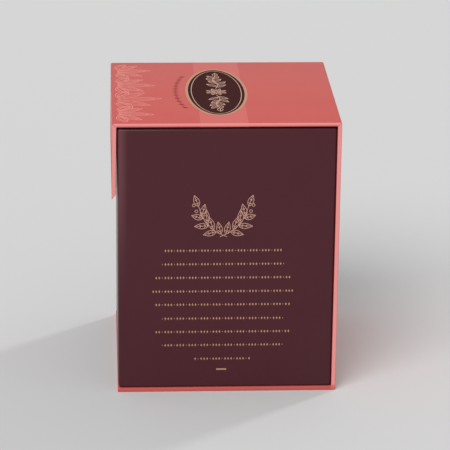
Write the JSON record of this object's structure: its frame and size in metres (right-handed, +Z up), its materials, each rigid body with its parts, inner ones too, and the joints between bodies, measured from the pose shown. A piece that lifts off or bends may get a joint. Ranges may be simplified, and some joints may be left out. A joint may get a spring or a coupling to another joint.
{
  "type": "chocolate box",
  "caption": "Tall book-style rigid gift box for chocolates: a wrapped tray in a hinged case, with a magnetic flap over the front and card dividers inside.",
  "frame": {"origin": "middle of the base's underside, on the surface that the box stands on", "axes": "+Z up, -Y towards the flap at the front, +X towards the side panel that the picture shows"},
  "size_m": [0.12, 0.1269, 0.16],
  "materials": {
    "case_paper": "satin",
    "tray_paper": "satin",
    "lining_paper": "matte",
    "stay_paper": "matte",
    "greyboard": "matte",
    "insert_card": "matte",
    "magnet_metal": "polished",
    "keeper_steel": "satin"
  },
  "bodies": {
    "root": {"base_board": "greyboard", "base_wrap": "case_paper", "spine_board": "greyboard", "spine_wrap": "case_paper", "spine_lining": "lining_paper", "tray_floor": "greyboard", "tray_front_wall": "greyboard", "tray_back_wall": "greyboard", "tray_left_wall": "greyboard", "tray_right_wall": "greyboard", "corner_stays": "stay_paper", "tray_wrap": "tray_paper", "tray_lining": "lining_paper", "keeper_left": "keeper_steel", "keeper_right": "keeper_steel", "layer_1_long_divider_1": "insert_card", "layer_1_long_divider_2": "insert_card", "layer_1_cross_divider_1": "insert_card", "layer_1_cross_divider_2": "insert_card", "layer_pad_2": "insert_card", "layer_2_long_divider_1": "insert_card", "layer_2_long_divider_2": "insert_card", "layer_2_cross_divider_1": "insert_card", "layer_2_cross_divider_2": "insert_card", "layer_pad_3": "insert_card", "layer_3_long_divider_1": "insert_card", "layer_3_long_divider_2": "insert_card", "layer_3_cross_divider_1": "insert_card", "layer_3_cross_divider_2": "insert_card", "rear_fold": "case_paper", "rear_fold_lining": "lining_paper"},
    "lid": {"lid_board": "greyboard", "lid_wrap": "case_paper", "lid_lining": "lining_paper", "front_fold": "case_paper", "front_fold_lining": "lining_paper"},
    "flap": {"flap_board": "greyboard", "flap_wrap": "case_paper", "flap_lining": "lining_paper", "magnet_left": "magnet_metal", "magnet_right": "magnet_metal"}
  },
  "joints": [
    {"name": "lid_hinge", "type": "hinge", "parent": "root", "child": "lid", "pos_m": [0, 0.062, 0.16], "axis": [-1, 0, 0], "range_deg": [0, 250], "deforming": ["rear_fold", "rear_fold_lining"]},
    {"name": "flap_hinge", "type": "hinge", "parent": "lid", "child": "flap", "pos_m": [0, -0.064, 0.15955], "axis": [-1, 0, 0], "range_deg": [-0.6, 175], "deforming": ["front_fold", "front_fold_lining"]}
  ]
}
